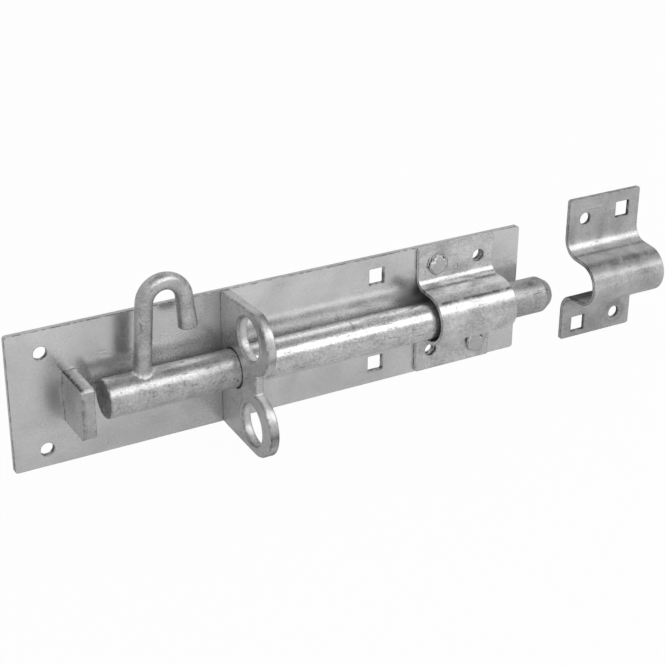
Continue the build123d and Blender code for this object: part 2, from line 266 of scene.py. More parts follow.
def zinc_group():
    """Node group for zinc plating. Clouds and grain lighten and darken the base colour, specks and scuffs
    darken it, each by its own share. Wear above 0 darkens an edge and below 0 brightens it as a painted
    highlight. Dull places and those a tool marked are darker and rougher; in places they are painted shade,
    and dull values below 0 are painted highlights. Roughness and height follow the same patterns."""
    tree = bpy.data.node_groups.new("zinc plating", "ShaderNodeTree")
    for way, kind, names in (
        ("INPUT", "NodeSocketVector", ["Vector", "Scuff stretch"]),
        ("INPUT", "NodeSocketColor", ["Base"]),
        ("INPUT", "NodeSocketFloat", ["Roughness", "Clouds", "Cloud size", "Grain", "Grain size", "Specks",
                                      "Scuffs", "Edge", "Edge dark", "Dull and shade", "Pressed and shade"]),
        ("OUTPUT", "NodeSocketColor", ["Color"]),
        ("OUTPUT", "NodeSocketFloat", ["Roughness", "Height"]),
    ):
        for name in names:
            tree.interface.new_socket(name, in_out=way, socket_type=kind)
    given = tree.nodes.new("NodeGroupInput").outputs
    result = tree.nodes.new("NodeGroupOutput").inputs
    speck_size = 700.0
    dull_and_shade_dark, dull_rough = 0.36, 0.28
    mark_and_shade_dark, mark_rough = 0.75, 0.25

    def math(operation, a, b=0.5, c=0.5, clamp=False):
        node = shader_node(tree, "ShaderNodeMath", ((0, a), (1, b), (2, c)), operation=operation)
        node.use_clamp = clamp
        return node.outputs[0]

    def noise(vector, scale, detail, distortion=0.0):
        node = shader_node(tree, "ShaderNodeTexNoise", (
            ("Vector", vector), ("Scale", scale), ("Detail", detail), ("Distortion", distortion)))
        return node.outputs["Fac"]

    def band(value, low, high):
        node = shader_node(tree, "ShaderNodeMapRange", (
            ("Value", value), ("From Min", low), ("From Max", high)), interpolation_type="SMOOTHSTEP")
        return node.outputs["Result"]

    def darkened(light, mask, share):
        return math("MULTIPLY", light, math("SUBTRACT", 1.0, math("MULTIPLY", mask, share)))

    vector = given["Vector"]
    clouds = math("SUBTRACT", noise(vector, given["Cloud size"], 3.0, 0.4), 0.5)
    grain = math("SUBTRACT", noise(vector, given["Grain size"], 4.0), 0.5)
    speck_field = noise(vector, speck_size, 2.0)
    speck_patch = band(noise(vector, math("MULTIPLY", given["Cloud size"], 1.7), 2.0), 0.42, 0.62)
    specks = math("MULTIPLY", band(speck_field, 0.64, 0.72), speck_patch)
    stretched = shader_node(tree, "ShaderNodeVectorMath", (
        (0, vector), (1, given["Scuff stretch"])), operation="MULTIPLY").outputs[0]
    scuff_field = noise(stretched, 1.0, 5.0, 0.6)
    scuffs = math("MULTIPLY", band(scuff_field, 0.56, 0.70), speck_patch)
    light = math("MULTIPLY_ADD", clouds, given["Clouds"], 1.0)
    light = math("MULTIPLY_ADD", grain, given["Grain"], light)
    light = math("SUBTRACT", light, math("MULTIPLY", specks, given["Specks"]))
    light = math("SUBTRACT", light, math("MULTIPLY", scuffs, given["Scuffs"]))
    nicks = math("MULTIPLY_ADD", band(noise(vector, 420.0, 4.0), 0.35, 0.6), 0.65, 0.35)
    edge = math("MULTIPLY", given["Edge"], nicks)
    light = darkened(light, edge, given["Edge dark"])
    light = darkened(light, given["Dull and shade"], dull_and_shade_dark)
    patches = math("MULTIPLY_ADD", band(noise(vector, 230.0, 6.0, 1.2), 0.34, 0.56), 0.6, 0.4)
    marks = math("MULTIPLY", given["Pressed and shade"], patches)
    light = darkened(light, marks, mark_and_shade_dark)
    colour = shader_node(tree, "ShaderNodeVectorMath", (
        (0, given["Base"]), ("Scale", light)), operation="SCALE").outputs[0]
    link(tree, colour, result["Color"])
    rough = math("MULTIPLY_ADD", clouds, 0.22, given["Roughness"])
    rough = math("MULTIPLY_ADD", grain, 0.18, rough)
    rough = math("MULTIPLY_ADD", math("ADD", specks, scuffs), 0.22, rough)
    rough = math("MULTIPLY_ADD", math("ABSOLUTE", edge), 0.35, rough)
    rough = math("MULTIPLY_ADD", marks, mark_rough, rough)
    rough = math("MULTIPLY_ADD", given["Dull and shade"], dull_rough, rough, clamp=True)
    link(tree, rough, result["Roughness"])
    height = math("MULTIPLY_ADD", grain, 0.5, math("MULTIPLY", clouds, 1.2))
    height = math("SUBTRACT", height, math("MULTIPLY", specks, 0.7))
    height = math("SUBTRACT", height, math("MULTIPLY", scuffs, 0.35))
    link(tree, height, result["Height"])
    return tree


zinc_plating = zinc_group()
metal_share = 0.85


def zinc_material(name, grey, depth, stretch, **values):
    """Plated steel: the plating group drives colour and roughness, and its height a bump of the given
    depth in metres. The stretch draws out the scuffs, and the other values are the group's inputs."""
    material = bpy.data.materials.new(name)
    material.use_nodes = True
    tree = material.node_tree
    shader = tree.nodes["Principled BSDF"]
    shader.inputs["Metallic"].default_value = metal_share
    place = tree.nodes.new("ShaderNodeTexCoord").outputs["Object"]
    plating = tree.nodes.new("ShaderNodeGroup")
    plating.node_tree = zinc_plating
    link(tree, place, plating.inputs["Vector"])
    for attribute, socket in (("edge_wear_and_highlight", "Edge"), ("dulled_and_shaded", "Dull and shade"), ("pressed_and_shaded", "Pressed and shade")):
        wear = shader_node(tree, "ShaderNodeAttribute", attribute_name=attribute)
        link(tree, wear.outputs["Fac"], plating.inputs[socket])
    plating.inputs["Base"].default_value = (grey, grey, grey, 1.0)
    plating.inputs["Scuff stretch"].default_value = stretch
    for socket, value in values.items():
        plating.inputs[socket.replace("_", " ").capitalize()].default_value = value
    bump = shader_node(tree, "ShaderNodeBump", (
        ("Height", plating.outputs["Height"]), ("Strength", 1.0), ("Distance", depth)))
    link(tree, plating.outputs["Color"], shader.inputs["Base Color"])
    link(tree, plating.outputs["Roughness"], shader.inputs["Roughness"])
    link(tree, bump.outputs["Normal"], shader.inputs["Normal"])
    return material


def rectangle(left, right, low, high, play=0.0):
    """A rectangle's four corners, let out on every side by the play."""
    left, right, low, high = left - play, right + play, low - play, high + play
    return [(left, low), (right, low), (right, high), (left, high)]


def square_hole(x, y):
    """The outline of a coach bolt's square hole about its centre."""
    sides = rectangle(x - square_half, x + square_half, y - square_half, y + square_half)
    return rounded(sides, square_corner, 1.0)


def on_the_plate(across, along, depth):
    """The plate lies in X and Z, with its front towards -Y. Its front face is a little uneven, and it was
    drawn in beside the stop's slot when that was punched: by the dish's depth times a bell curve each
    way. Both fade to nothing at the back."""
    uneven = 0.035 * ripple([across, along], length=45.0, seed=3)
    from_slot = across - stop_slot[0]
    drawn_in = dish_depth * bell(from_slot, dish_reach) * bell(along, dish_half_height) * (from_slot < 1)
    y = depth + plate_front + (uneven + drawn_in) * (1 - depth / plate_thickness)
    return np.stack([across, y, along], axis=-1)


# The middle of the corner that the guide and the bolt shade, in X and Z.
shaded_corner = (77.5, 11.0)


def plate_dullness_and_shade(points):
    """The plate's front is dulled and darkened: by 0.9 at the middle of a bell curve beside the stop, painted
    shade for the stop's dark face mirrored in the plate, and by 0.5 in a narrow line along the staple plate's
    left. In the shaded corner painted shade makes it darkest, by 2.3 at the middle of a bell curve. Right of
    the staple plate it is polished a little, by -0.12."""
    x, y, z = points.T
    # Painted shade: beside the stop it stands for the stop's dark face mirrored in the plate, and in the
    # corner for the shade of the guide and the bolt.
    beside_stop = 0.9 * bell(x - stop_slot[0] + 4.5, 5.0) * bell(z, 11.0)
    beside_staple = 0.5 * bell(x - staple_slots[0][0] + 1.0, 2.5)
    in_corner = 2.3 * bell(x - shaded_corner[0], 7.0) * bell(z - shaded_corner[1], 5.5)
    right_part = -0.12 * (x > staple_slots[0][1])
    return (beside_stop + beside_staple + in_corner + right_part) * (y < plate_front / 2)


plate_zinc = zinc_material(
    "zinc on strip", 0.72, 0.00002, (90, 90, 500), roughness=0.245, clouds=0.55,
    cloud_size=45.0, grain=0.25, grain_size=700.0, specks=0.05, scuffs=0.05, edge_dark=0.65)
sheared = cut_edge(plate_thickness, front=0.2, back=0.12, wear=(1.2, 0.0, 0.3, 1.0))
punched = cut_edge(plate_thickness, front=0.3, back=0.15, wear=(0.7, 1.2, 1.2, 1.0))
slotted = cut_edge(plate_thickness, front=0.05, back=0.15, wear=(1.0, 1.0, 1.0, 1.0), fracture=0.0)
# A rivet's hole in the same kind of rows: a broken edge in front and a countersink behind.
countersink = rivet_tail - rivet_pin
riveted = np.array([
    [1.5, 0.0, 0.0], [0.15, 0.0, 1.0], [0.0, 0.15, 1.0], [0.0, plate_thickness - rivet_sink, 1.0],
    [countersink, plate_thickness - 0.05, 0.5], [countersink + 0.05, plate_thickness, 0.2],
    [1.5, plate_thickness, 0.0]])
plate_sides = rectangle(-plate_half_length, plate_half_length, -plate_half_height, plate_half_height)
plate_lines = [rounded(plate_sides, plate_corner)]
plate_lines += [round_hole(spot, screw_hole) for spot in end_holes + guide_holes]
plate_lines += [square_hole(*spot) for spot in plate_squares]
plate_sections = [sheared] + [punched] * (len(plate_lines) - 1)
slots = [stop_slot, *staple_slots]
plate_lines += [rounded(rectangle(*slot, slot_play), 0.2, 1.5) for slot in slots]
plate_sections += [slotted] * len(slots)
plate_lines += [round_hole(spot, rivet_pin) for spot in rivet_places.values()]
plate_sections += [riveted] * len(rivet_places)
steel_piece("backplate_strip", *punched_blank(plate_lines, plate_sections, (2.6, 2.6), on_the_plate),
            "fixed_parts", "zinc_sheet", plate_zinc, ["backplate"], plate_dullness_and_shade)


# End stop: a cut length of 6.5 mm flat bar set on edge, whose tenon is riveted over in the plate's slot.
# The bolt's end comes to rest against it when the bolt is drawn right back.
stop_left, stop_thickness, stop_front = stop_slot[0], 6.5, -26.3
stop_top, stop_bottom = 12.4, -14.0
upper_cut, lower_cut = 1.5, 2.2
tenon_low, tenon_high = stop_slot[2:]
# Its corners in Y and Z, each with the radius that it is rounded by.
stop_corners = [
    (plate_front, stop_top, 0.7), (stop_front + upper_cut, stop_top, 0.65),
    (stop_front, stop_top - upper_cut, 0.65), (stop_front, stop_bottom + lower_cut, 1.2),
    (stop_front + lower_cut, stop_bottom, 1.2), (plate_front, stop_bottom, 0.7),
    (plate_front, tenon_low, 0.25), (tenon_back, tenon_low, 0.7),
    (tenon_back, tenon_high, 0.7), (plate_front, tenon_high, 0.25)]
stop_line = rounded([corner[:2] for corner in stop_corners], [corner[2] for corner in stop_corners], 1.2)


def on_the_stop(across, along, depth):
    """The stop lies in Y and Z, with its left face first, and its sheared faces bulge a little."""
    wave = 0.05 * ripple([across, along], length=16.0, seed=5)
    return np.stack([stop_left + depth + wave * (1 - depth / stop_thickness), across, along], axis=-1)


def stop_marks(points):
    """The shear marked the stop along the top arris of its left face: 1 there, 0 elsewhere."""
    return (points[:, 0] < stop_left + 0.7) & (points[:, 2] > stop_top - 0.5)


flat_bar_zinc = zinc_material(
    "zinc on flat bar", 0.60, 0.00004, (140, 140, 600), roughness=0.3, clouds=0.45,
    cloud_size=110.0, grain=0.5, grain_size=1100.0, specks=0.25, scuffs=0.15, edge_dark=0.5)
stop_section = cut_edge(stop_thickness, front=0.4, back=0.3, wear=(1.1, 0.2, 0.35, 0.9), fracture=0.08)
steel_piece("stop_flat_bar", *punched_blank([stop_line], [stop_section], (1.6, 1.6), on_the_stop),
            "fixed_parts", "zinc_forging", flat_bar_zinc, ["stop_plate"], pressed_and_shaded=stop_marks)


# Staple plate: a length of 5 mm flat bar, cut out to two round ears with a notch between them, pierced
# for the bolt and for a padlock in each ear, and riveted over in the plate by two tenons.
staple_left, staple_thickness = staple_slots[0][0], 5.0
bolt_axis_y = -15.7
ears = [(-35.6, 21.0), (-37.8, -21.0)]
eyes = [(-32.3, 22.1), (-34.5, -22.1)]
ear_radius, eye_radius, bolt_hole = 15.6, 10.5, 10.2
notch_floor, notch_round = -37.5, 1.0


def half_staple(ear, side):
    """Half of the outline, from the plate's corner to the notch's floor: a straight edge that touches the
    ear's circle, round the ear, and a small round that touches both the ear and the floor."""
    corner = np.array([plate_front, plate_half_height])
    centre = np.array([ear[0], abs(ear[1])])
    reach = centre - corner
    bearing = np.degrees(np.arctan2(-reach[1], -reach[0]))
    open_angle = np.degrees(np.arccos(ear_radius / np.linalg.norm(reach)))
    hollow_y = notch_floor - notch_round
    drop = ((ear_radius + notch_round) ** 2 - (hollow_y - centre[0]) ** 2) ** 0.5
    hollow = np.array([hollow_y, centre[1] - drop])
    leave = np.degrees(np.arctan2(*(hollow - centre)[::-1])) % 360
    half = np.vstack([
        corner[None], arc(centre, ear_radius, bearing + open_angle, leave),
        arc(hollow, notch_round, leave - 180, 0, 0.3)[1:]])
    return half * [1, side]


def on_the_staple(across, along, depth):
    """The staple plate lies in Y and Z, with its left face first."""
    wave = 0.06 * ripple([across, along], length=22.0, seed=8)
    return np.stack([staple_left + depth + wave * (1 - depth / staple_thickness), across, along], axis=-1)


def spotted(points, spots):
    """The sum of a bell curve for each spot, given as (Y, Z, reach, height): the height times the curve of
    the distance from the spot in Y and Z, whatever the X."""
    total = 0
    for y, z, reach, height in spots:
        total = total + height * bell(points[:, 1] - y, reach) * bell(points[:, 2] - z, reach)
    return total


# Where the straight cuts run into the round ears, as (Y, Z, reach, dullness).
ear_spots = [(-40.0, 36.5, 2.6, 0.7), (-51.6, 17.5, 2.0, 0.45), (-53.2, -22.0, 3.4, 0.7),
             (-49.0, -31.5, 3.6, 0.55)]


def staple_dullness(points):
    """The spots count everywhere but on the left face. The cutting tool marked the same spots."""
    return spotted(points, ear_spots) * (points[:, 0] > staple_left + 0.5)


lower_tenon, upper_tenon = staple_slots[1][2:]
tenon = np.array([(plate_front, upper_tenon), (tenon_back, upper_tenon),
                  (tenon_back, lower_tenon), (plate_front, lower_tenon)])
staple_line = with_steps(np.vstack([
    half_staple(ears[0], 1), half_staple(ears[1], -1)[::-1], tenon[::-1], tenon * [1, -1]]), 1.5)
# An eye's edge in rows of (distance into the metal, depth, wear): a raised lip, and a soft round behind. Wear
# below 0 on the bore's wall brightens it, a painted highlight.
eye_lip = np.array([
    [2.8, 0.0, 0.0], [2.3, -0.16, 0.0], [1.75, -0.42, 0.0], [1.2, -0.48, 0.0], [0.75, -0.25, 0.2],
    [0.38, 0.15, 0.7], [0.12, 0.6, 0.9], [0.0, 1.0, -0.1], [0.0, 2.5, -0.7], [0.0, 3.9, -0.5],
    [0.16, 4.4, 0.2], [0.42, 4.75, 0.0], [0.75, 4.95, 0.0], [1.1, 5.0, 0.0], [2.0, 5.0, 0.0]])
staple_lines = [staple_line, round_hole((bolt_axis_y, 0.0), bolt_hole)]
staple_lines += [round_hole(eye, eye_radius) for eye in eyes]
# The outline's land and break have wear below 0, a painted highlight on the ears' edge faces.
staple_sections = [
    cut_edge(staple_thickness, front=0.5, back=0.4, wear=(0.9, -0.4, -0.1, 0.9), fracture=0.06),
    cut_edge(staple_thickness, front=0.4, back=0.3, wear=(0.6, 1.0, 1.0, 1.0)), eye_lip, eye_lip]
steel_piece("staple_flat_bar", *punched_blank(staple_lines, staple_sections, (1.8, 1.8), on_the_staple),
            "fixed_parts", "zinc_forging", flat_bar_zinc, ["staple_plate"], staple_dullness, staple_dullness)


# Bolt: a 250 mm length of 19 mm bright drawn round bar, chamfered at one end and turned to a short
# taper at the tip. It slides in the staple plate's hole and under the guide.
bolt_radius, bolt_left, bolt_right = 9.5, -99.7, 150.3
taper_length = 5.5
pit_x, pit_angle, pit_depth, pit_wear = -45.5, -40.0, 0.3, 1.4


def swept(x, y, z, worn, wrap=False):
    """The points, faces and wear of a grid of points, closed round its columns, and round its rows too
    where it wraps."""
    ids = np.arange(x.size).reshape(x.shape)
    below = np.roll(ids, -1, 0) if wrap else ids[1:]
    ids = ids if wrap else ids[:-1]
    quads = np.stack([ids, np.roll(ids, -1, 1), np.roll(below, -1, 1), below], axis=-1).reshape(-1, 4)
    return np.stack([x, y, z], axis=-1).reshape(-1, 3), quads.tolist(), np.broadcast_to(worn, x.shape).ravel()


def round_angles(around):
    """Even angles once round, in radians."""
    return np.linspace(0, 2 * np.pi, around, endpoint=False)


def turned_bar(profile, around, dents):
    """A profile of (x, radius, wear) turned round the bolt's axis: at x, the point (radius cos a, radius
    sin a) about the axis, with the radius lowered or raised a little by dents, and sunk in at one pit by
    its depth times a bell curve along the bar and one round it."""
    x, angle = np.broadcast_arrays(profile[:, :1], round_angles(around))
    on_bar = [x / 6.0, bolt_radius * np.cos(angle), bolt_radius * np.sin(angle)]
    turn = (angle - np.radians(pit_angle) + np.pi) % (2 * np.pi) - np.pi
    pit = bell(x - pit_x, 0.8) * bell(turn * bolt_radius, 0.9)
    uneven = 1 + dents * ripple(on_bar, length=9.0, seed=21) / bolt_radius
    radius = profile[:, 1:2] * uneven - pit_depth * pit
    worn = np.maximum(profile[:, 2:], pit_wear * pit)
    return swept(x, bolt_axis_y - radius * np.cos(angle), radius * np.sin(angle), worn)


tip_start = bolt_right - taper_length
# The sawn end and the turned tip, in rows of (x from the bar's left or from the tip's start, radius, wear).
sawn_end = [(0.25, 0.0, 0.7), (0.2, 4.0, 0.7), (0.05, 8.0, 0.7), (0.0, 8.8, 0.7), (0.08, 9.05, 1.0),
            (0.35, 9.35, 1.0), (0.8, 9.48, 0.6), (1.3, bolt_radius, 0.0)]
turned_tip = [(-0.5, 9.49, 0.2), (0.0, 9.35, 0.5), (0.6, 9.05, 0.3), (2.0, 8.25, 0.0), (3.4, 7.45, 0.0),
              (4.3, 6.9, 0.2), (4.9, 6.35, 0.5), (5.3, 5.6, 0.6), (taper_length, 4.6, 0.2),
              (taper_length, 2.0, 0.0), (taper_length, 0.0, 0.0)]
# The bar between has rings at even places, and close ones about the pit.
ring_places = np.linspace(bolt_left + 3, tip_start - 1.2, 160)
pit_places = pit_x + 0.3 + 0.35 * np.arange(-6, 7)
bar_places = np.sort(np.concatenate([ring_places, pit_places]))[:, None]
bolt_profile = np.vstack([
    np.array(sawn_end) + [bolt_left, 0, 0],
    bar_places * [1, 0, 0] + [0, bolt_radius, 0],
    np.array(turned_tip) + [tip_start, 0, 0]])
bar_zinc = zinc_material(
    "zinc on round bar", 0.64, 0.00007, (90, 900, 900), roughness=0.24, clouds=0.8,
    cloud_size=110.0, grain=1.1, grain_size=900.0, specks=0.5, scuffs=0.5, edge_dark=0.5)


dull_end_start, dull_step = 121.0, 3.0
scuff_x, scuff_y, scuff_z = 137.0, -19.5, 8.7


def bar_dullness(points):
    """The bar is dull from the guide's right side to the tip, and a little so left of the staple plate: up
    to 0.75 and to 0.3, each rising evenly over the step."""
    x = points[:, 0]
    right_end = np.clip((x - dull_end_start) / dull_step, 0, 1)
    left_end = np.clip((staple_left - x) / dull_step, 0, 1)
    return 0.75 * right_end + 0.3 * left_end


def bar_marks(points):
    """The tip is scuffed on top, where it has slid into its keeper, by 0.8 at the middle of a bell curve,
    and the sawn end has marks of 0.2."""
    on_top = bell(points[:, 0] - scuff_x, 5.0) * spotted(points, [(scuff_y, scuff_z, 2.5, 0.8)])
    return on_top + 0.2 * (points[:, 0] < bolt_left + 0.3)


steel_piece("bolt_round_bar", *turned_bar(bolt_profile, around=120, dents=0.03),
            "sliding_bolt", "zinc_bar", bar_zinc, ["bolt_bar"], bar_dullness, bar_marks)


# Handle: 8.5 mm rod bent cold into a hook over a mandrel. Its free leg passes the staple plate's notch,
# and its sheared end has swollen a little. The foot is cut to sit on the bolt's round.
rod_radius, leg_end_radius = 4.25, 4.75
foot_x, shank_lean, leg_splay = -80.314, 3.7, 5.7
shank_top, hook_radius, leg_length = 43.27, 10.0, 16.0
saddle_clearance = 0.05
saddle = bolt_radius + saddle_clearance
shank_rings, bend_rings, leg_rings = 24, 46, 22
# The rings that close the foot, as shares of the rod's radius, and those that close the sheared end, as
# (place past the leg's end, share of its radius, wear).
foot_shares = [0.0, 0.35, 0.7, 0.9]
sheared_end = np.array([
    (-0.55, 1.0, 0.3), (-0.25, 0.985, 0.8), (-0.08, 0.955, 1.0), (0.0, 0.9, 0.6),
    (0.06, 0.75, 0.2), (0.1, 0.4, 0.0), (0.1, 0.0, 0.0)])


def bent_line(lengths, turns, start, heading, samples=4000):
    """A line bent in a plane: its heading turns evenly along each part by that part's turn in degrees, and
    each point is the start plus the running sum of short steps along the heading. Returns a function that
    gives the point and heading at any distances, and the line's length."""
    ends = np.concatenate([[0.0], np.cumsum(lengths)])
    angles = np.radians(heading + np.concatenate([[0.0], np.cumsum(turns)]))
    s = np.linspace(0, ends[-1], samples)
    angle = np.interp(s, ends, angles)
    middle = (angle[1:] + angle[:-1]) / 2
    step = s[1] - s[0]
    u = start[0] + np.concatenate([[0], np.cumsum(np.cos(middle) * step)])
    v = start[1] + np.concatenate([[0], np.cumsum(np.sin(middle) * step)])

    def at(distance):
        return np.interp(distance, s, u), np.interp(distance, s, v), np.interp(distance, s, angle)

    return at, ends[-1]


def seat_on_bolt(radius, angle):
    """How far up the leaning rod's axis the bolt's round lies, at a radius and an angle about that axis:
    the height of the round there, plus the radius across times the sine of the lean, over its cosine."""
    lean = np.radians(shank_lean)
    height = np.sqrt(saddle**2 - (radius * np.sin(angle)) ** 2)
    return (height + radius * np.cos(angle) * np.sin(lean)) / np.cos(lean)


def hook_surface(around=64):
    """Rings along the hook's line, each point the line's own plus the radius times (cos a across the bend,
    sin a along Y). The first rings close the foot over the bolt's round, and the last close the leg's end.
    The rod is 3 percent flatter in the bend, and dented by up to 0.6 percent of its radius."""
    bend = 180 - shank_lean - leg_splay
    at, total = bent_line([shank_top, np.radians(bend) * hook_radius, leg_length], [0, -bend, 0],
                          (foot_x, 0.0), 90 - shank_lean)
    leg_start = total - leg_length
    angle = round_angles(around)
    shank_radius = rod_radius * np.array(foot_shares + [1.0] * shank_rings)[:, None]
    share = np.concatenate([np.zeros(len(foot_shares)), np.linspace(0, 1, shank_rings)])[:, None]
    seat = seat_on_bolt(shank_radius, angle)
    up_shank = seat + share * (shank_top - seat)
    bend_places = np.linspace(shank_top + 0.6, leg_start, bend_rings)
    along_rod = np.concatenate([bend_places, np.linspace(leg_start + 0.8, total - 1.0, leg_rings)])
    swell = np.clip((along_rod - leg_start) / leg_length, 0, 1) ** 1.5
    rod = rod_radius + (leg_end_radius - rod_radius) * swell
    further = np.concatenate([along_rod, total + sheared_end[:, 0]])[:, None]
    further_radius = np.concatenate([rod, leg_end_radius * sheared_end[:, 1]])[:, None]
    s = np.vstack([up_shank, np.repeat(further, around, axis=1)])
    radius = np.repeat(np.vstack([shank_radius, further_radius]), around, axis=1)
    angle = np.broadcast_to(angle, s.shape)
    dents = ripple([s / 4, 4 * np.cos(angle), 4 * np.sin(angle)], length=5.0, seed=31)
    radius = radius * (1 + 0.006 * dents)
    flatten = 1 - 0.03 * bell(s - shank_top - 15, 12)
    x, z, heading = at(s)
    beyond = np.clip(s - total, 0, 1)
    x = x + np.cos(heading) * beyond + np.sin(heading) * np.cos(angle) * radius * flatten
    z = z + np.sin(heading) * beyond - np.cos(heading) * np.cos(angle) * radius * flatten
    y = bolt_axis_y + np.sin(angle) * radius
    worn = np.zeros((len(s), 1))
    worn[-len(sheared_end):] = sheared_end[:, 2:]
    return swept(x, y, z, worn)


rod_zinc = zinc_material(
    "zinc on bent rod", 0.54, 0.00007, (300, 300, 90), roughness=0.35, clouds=1.0,
    cloud_size=130.0, grain=1.0, grain_size=900.0, specks=0.5, scuffs=0.25, edge_dark=0.5)
steel_piece("handle_hook", *hook_surface(), "turning_handle", "zinc_bar", rod_zinc, ["handle"])


# Handle weld: a small uneven bead run once round the handle's foot, plated with the rest.
bead_height, bead_width, bead_bite, bead_rings = 1.7, 1.25, 0.05, 9


def bead_surface(around=120):
    """Rings round the rod's foot. From the rod's side, at the bead's height, to the bolt, at its width, the
    surface is hollow: out is the width times 1 minus cos t, up is the height times 1 minus sin t, both to the
    power of 0.9. Both sizes swell and shrink with the angle. The bead's colour is brightened towards the
    bolt, a painted highlight."""
    angle = round_angles(around)
    lumps = 1 + 0.18 * np.sin(7 * angle + 0.6) * np.sin(3 * angle) + 0.12 * np.sin(13 * angle)
    width, height = bead_width * lumps, bead_height * lumps
    t = np.linspace(0, np.pi / 2, bead_rings)[:, None]
    out = width * (1 - np.cos(t)) ** 0.9
    up = height * (1 - np.sin(t)) ** 0.9
    inner = rod_radius - bead_bite
    radius = np.vstack([inner + out, rod_radius + 0.5 * width, np.full(around, inner)])
    lean = np.radians(shank_lean)
    s = seat_on_bolt(radius, angle) + np.vstack([up, np.zeros((2, around))])
    x = foot_x + s * np.sin(lean) + radius * np.cos(angle) * np.cos(lean)
    z = s * np.cos(lean) - radius * np.cos(angle) * np.sin(lean)
    y = bolt_axis_y + radius * np.sin(angle)
    # Wear from 0 to -0.9 towards the bolt is a painted highlight.
    worn = np.concatenate([np.linspace(0.0, -0.9, bead_rings), [0, 0]])[:, None]
    return swept(x, y, z, worn, wrap=True)


weld_zinc = zinc_material(
    "zinc on weld", 0.58, 0.00006, (600, 600, 600), roughness=0.36, clouds=0.3,
    cloud_size=400.0, grain=0.3, grain_size=1500.0, specks=0.3, scuffs=0.1, edge_dark=0.5)
steel_piece("handle_weld_bead", *bead_surface(), "turning_handle", "zinc_weld", weld_zinc, ["handle_weld"])


# Bolt guide: a strap of 2.2 mm sheet, cropped and punched flat, then folded over the bolt in a press and
# riveted to the plate at two opposite corners. Screws through the other two hold strap and plate.
guide_left, guide_width, guide_sheet = 77.0, 45.5, 2.2
guide_half, guide_rise, guide_corner = 34.8, 0.6, 1.2
guide_clearance, guide_bend, guide_slope = 2.0, 5.0, 4.0


def folded(left, sheet, bore, bend, slope, back_y, top, bottom, rise):
    """A strap folded over the bolt, seen as the line through the middle of its sheet, from its top edge to
    its bottom one. Returns place, which puts a point of the blank on the line at its distance along, moved
    along the line's normal by half the sheet less its depth; along_at, which turns a height on a flange
    into a distance along the line; and the line's length."""
    crown, turn = bore + sheet / 2, bend + sheet / 2
    slope_angle = np.radians(slope)
    drop = back_y - sheet / 2 - turn - bolt_axis_y + (crown + turn) * np.sin(slope_angle)
    wall = drop / np.cos(slope_angle)
    root = (crown + turn) * np.cos(slope_angle) + wall * np.sin(slope_angle)
    quarter = np.radians(90 - slope) * turn
    over = np.radians(180 - 2 * slope) * crown
    at, total = bent_line(
        [top - root, quarter, wall, over, wall, quarter, bottom - root],
        [0, -(90 - slope), 0, 180 - 2 * slope, 0, -(90 - slope), 0],
        (back_y - sheet / 2, top + rise), -90)

    def place(across, along, depth):
        y, z, heading = at(along)
        out = sheet / 2 - depth + 0.04 * ripple([across, along], length=14.0, seed=13)
        return np.stack([left + across, y + np.sin(heading) * out, z - np.cos(heading) * out], axis=-1)

    def along_at(z):
        return top + rise - z if z > rise else total - (bottom - rise + z)

    return place, along_at, total


# The press tool's shoulders rubbed the strap where its upper wall leaves the bend, and faintly on the wall
# between; where the crown begins a strong dark line is painted shade, a dark band of reflection. Each is
# given as (Y, Z, reach, strength). The wall between has also lost some of its shine.
guide_rubs_and_dark_line = [(-10.9, 13.9, 1.5, 1.0), (-23.6, 11.25, 0.8, 2.6), (-15.5, 13.6, 6.0, 0.12)]
guide_dull_spot = (-16.0, 13.6, 6.0, 0.1)


def guide_marks_and_shade(points):
    """The sum of the rubbed spots and the painted dark line, and 1 at most."""
    return np.minimum(spotted(points, guide_rubs_and_dark_line), 1)


def guide_dullness(points):
    """The dull spot on the wall."""
    return spotted(points, [guide_dull_spot])


strap_zinc = zinc_material(
    "zinc on strap", 0.66, 0.00004, (70, 700, 700), roughness=0.28, clouds=1.0,
    cloud_size=110.0, grain=0.9, grain_size=800.0, specks=0.35, scuffs=0.05, edge_dark=0.6)
guide_place, guide_along, guide_length = folded(
    guide_left, guide_sheet, bolt_radius + guide_clearance, guide_bend, guide_slope, plate_front,
    guide_half, guide_half, guide_rise)
guide_lines = [rounded(rectangle(0, guide_width, 0, guide_length), guide_corner, 0.9)]
guide_lines += [round_hole((x - guide_left, guide_along(z)), screw_hole) for x, z in guide_holes]
guide_lines += [round_hole((x - guide_left, guide_along(z)), rivet_pin) for x, z in rivet_places.values()]
# The land and break of the strap's cut edge have wear below 0, a painted highlight.
guide_edge = cut_edge(guide_sheet, front=0.25, back=0.4, wear=(0.5, -0.5, -0.3, 1.4))
guide_hole = cut_edge(guide_sheet, front=0.3, back=0.15, wear=(0.5, 1.4, 1.4, 1.0))
guide_sections = [guide_edge] + [guide_hole] * (len(guide_lines) - 1)
steel_piece("guide_strap", *punched_blank(guide_lines, guide_sections, (2.6, 0.8), guide_place),
            "fixed_parts", "zinc_sheet", strap_zinc, ["bolt_guide"], guide_dullness, guide_marks_and_shade)


# Guide rivets: 6.4 mm steel pins, countersunk flush behind the plate. Their heads were beaten down over
# the strap, which left a flat with a crescent of raised metal round it.
rivet_seat, head_radius, beaten_height = plate_front - guide_sheet, 6.5, 1.5
# For each rivet two blows as (bearing, spread, strength), in degrees, and the seed of its unevenness.
blows = {"guide_rivet_upper": ((150, 65, 1.8), (15, 50, 1.7), 2.3),
         "guide_rivet_lower": ((165, 50, 1.35), (25, 35, 1.5), 3.6)}


